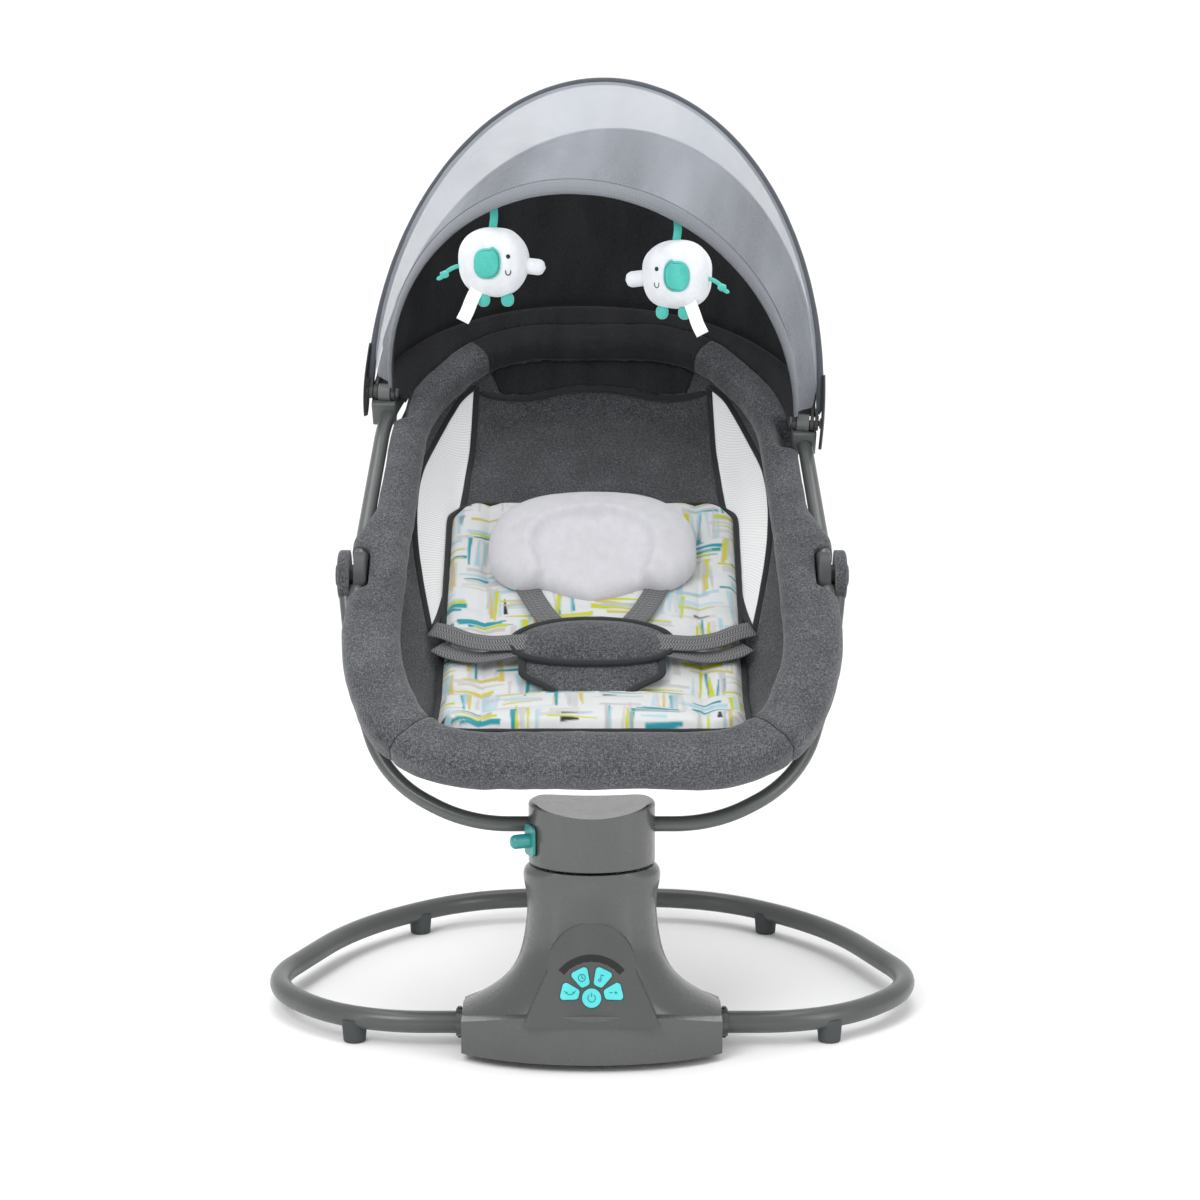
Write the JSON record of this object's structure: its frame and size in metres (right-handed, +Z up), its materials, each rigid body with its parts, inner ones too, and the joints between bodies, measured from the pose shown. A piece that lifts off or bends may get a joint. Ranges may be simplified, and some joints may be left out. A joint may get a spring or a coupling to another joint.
{
  "type": "baby swing",
  "caption": "Cradle swing on a ring base: motor column, U-shaped arm, reclining padded seat with harness, hooped folding canopy and hanging plush toys.",
  "frame": {"origin": "on the floor under the middle of the swing's bounding box, at the level of the feet's bottom faces", "axes": "+Z up, front and control panel towards -Y, +X to the right seen from the front"},
  "size_m": [0.6712, 0.6237, 0.956],
  "materials": {
    "grey_housing": "smooth glossy moulded grey plastic",
    "grey_tube": "semi-gloss grey paint on steel tube",
    "dark_plastic": "dark satin plastic",
    "clip_plastic": "grey satin plastic",
    "foot_rubber": "matt dark rubber",
    "screw_steel": "blackened screw heads",
    "display_black": "black glossy window",
    "board_green": "circuit board",
    "motor_steel": "plain steel",
    "gearbox_plastic": "natural nylon",
    "teal_button": "teal satin plastic",
    "teal_lever": "deeper teal plastic",
    "frame_tube": "grey painted steel tube",
    "heather_fabric": "dark grey heather polyester, padded",
    "window_mesh": "white open mesh",
    "pad_fabric": "quilted cotton print on white",
    "white_plush": "short white plush",
    "webbing": "grey woven webbing",
    "buckle_plastic": "dark moulded plastic",
    "hoop_plastic": "flat springy plastic strip in a fabric sleeve",
    "canopy_mesh": "fine grey translucent mesh",
    "canopy_dark_fabric": "near-black lining fabric"
  },
  "bodies": {
    "base": {"base_ring": "grey_tube", "base_housing_front": "grey_housing", "base_housing_rear": "grey_housing", "base_bottom_plate": "dark_plastic", "collar_screws": "screw_steel", "foot_front_left": "foot_rubber", "foot_front_right": "foot_rubber", "foot_rear_left": "foot_rubber", "foot_rear_right": "foot_rubber", "display_window": "display_black", "control_board": "board_green", "speaker": "dark_plastic", "power_inlet": "motor_steel", "gearbox": "gearbox_plastic", "swing_motor": "motor_steel", "shaft_bearings": "motor_steel", "bearing_bracket": "dark_plastic"},
    "button_power": {"button_power": "teal_button"},
    "button_swing": {"button_swing": "teal_button"},
    "button_timer": {"button_timer": "teal_button"},
    "button_music": {"button_music": "teal_button"},
    "button_volume": {"button_volume": "teal_button"},
    "swing_head": {"swing_shaft": "motor_steel", "head_housing_front": "grey_housing", "head_housing_rear": "grey_housing", "arm_clamp": "dark_plastic", "arm_tube": "grey_tube", "hub_cover_left": "dark_plastic", "hub_cover_right": "dark_plastic"},
    "lock_lever": {"lock_lever": "teal_lever"},
    "recline_button_left": {"recline_button_left": "clip_plastic"},
    "recline_button_right": {"recline_button_right": "clip_plastic"},
    "seat": {"seat_frame_foot": "frame_tube", "seat_frame_head": "frame_tube", "seat_hub_left": "dark_plastic", "seat_hub_right": "dark_plastic", "rim_bolster": "heather_fabric", "seat_shell": "heather_fabric", "side_mesh_left": "window_mesh", "side_mesh_right": "window_mesh", "seat_pad": "pad_fabric", "head_pillow": "white_plush", "shoulder_straps": "webbing", "waist_straps": "webbing", "harness_buckle": "buckle_plastic", "buckle_cover": "heather_fabric", "crotch_pad": "heather_fabric", "canopy_clip_left": "clip_plastic", "canopy_clip_right": "clip_plastic", "canopy_pin_left": "clip_plastic", "canopy_pin_right": "clip_plastic", "hoop_rear": "hoop_plastic", "canopy_skirt": "canopy_dark_fabric"},
    "canopy_middle": {"hoop_middle": "hoop_plastic", "canopy_mesh_rear": "canopy_mesh"},
    "canopy_front": {"hoop_front": "hoop_plastic", "canopy_mesh_front": "canopy_mesh"},
    "toy_left": {"toy_left": "white_plush"},
    "toy_right": {"toy_right": "white_plush"}
  },
  "joints": [
    {"name": "swing_turn", "type": "hinge", "parent": "base", "child": "swing_head", "pos_m": [0, -0.228, 0.19], "axis": [0, 0, 1], "range_deg": [-12, 12]},
    {"name": "seat_recline", "type": "hinge", "parent": "swing_head", "child": "seat", "pos_m": [0, -0.062, 0.447], "axis": [-1, 0, 0], "range_deg": [0, 20]},
    {"name": "canopy_fold", "type": "hinge", "parent": "seat", "child": "canopy_middle", "pos_m": [0, 0.12302, 0.60482], "axis": [-0.9936, 0.093, 0.0646], "range_deg": [0, 22], "deforming": ["canopy_mesh_rear"]},
    {"name": "canopy_front_fold", "type": "hinge", "parent": "canopy_middle", "child": "canopy_front", "pos_m": [0, 0.12302, 0.60482], "axis": [-0.9936, 0.093, 0.0646], "range_deg": [0, 38], "deforming": ["canopy_mesh_front"]},
    {"name": "toy_left_swing", "type": "hinge", "parent": "canopy_front", "child": "toy_left", "pos_m": [-0.09822, -0.08465, 0.81719], "axis": [-1, 0, 0], "range_deg": [-65, 30]},
    {"name": "toy_right_swing", "type": "hinge", "parent": "canopy_front", "child": "toy_right", "pos_m": [0.0846, -0.10175, 0.8053], "axis": [-1, 0, 0], "range_deg": [-65, 30]},
    {"name": "lock_lever_slide", "type": "slide", "parent": "swing_head", "child": "lock_lever", "axis": [0, 0, -1], "range_m": [0, 0.009]},
    {"name": "recline_button_left_press", "type": "slide", "parent": "swing_head", "child": "recline_button_left", "axis": [1, 0, 0], "range_m": [0, 0.0025], "stiffness_N_per_m": 500},
    {"name": "recline_button_right_press", "type": "slide", "parent": "swing_head", "child": "recline_button_right", "axis": [-1, 0, 0], "range_m": [0, 0.0025], "stiffness_N_per_m": 500},
    {"name": "button_power_press", "type": "slide", "parent": "base", "child": "button_power", "axis": [0, 0.9511, -0.309], "range_m": [0, 0.0015], "stiffness_N_per_m": 400},
    {"name": "button_swing_press", "type": "slide", "parent": "base", "child": "button_swing", "axis": [0, 0.9511, -0.309], "range_m": [0, 0.0015], "stiffness_N_per_m": 400},
    {"name": "button_timer_press", "type": "slide", "parent": "base", "child": "button_timer", "axis": [0, 0.9511, -0.309], "range_m": [0, 0.0015], "stiffness_N_per_m": 400},
    {"name": "button_music_press", "type": "slide", "parent": "base", "child": "button_music", "axis": [0, 0.9511, -0.309], "range_m": [0, 0.0015], "stiffness_N_per_m": 400},
    {"name": "button_volume_press", "type": "slide", "parent": "base", "child": "button_volume", "axis": [0, 0.9511, -0.309], "range_m": [0, 0.0015], "stiffness_N_per_m": 400}
  ],
  "couplings": [
    {"joint": "canopy_front_fold", "follows": "canopy_fold", "ratio": 1.72}
  ]
}
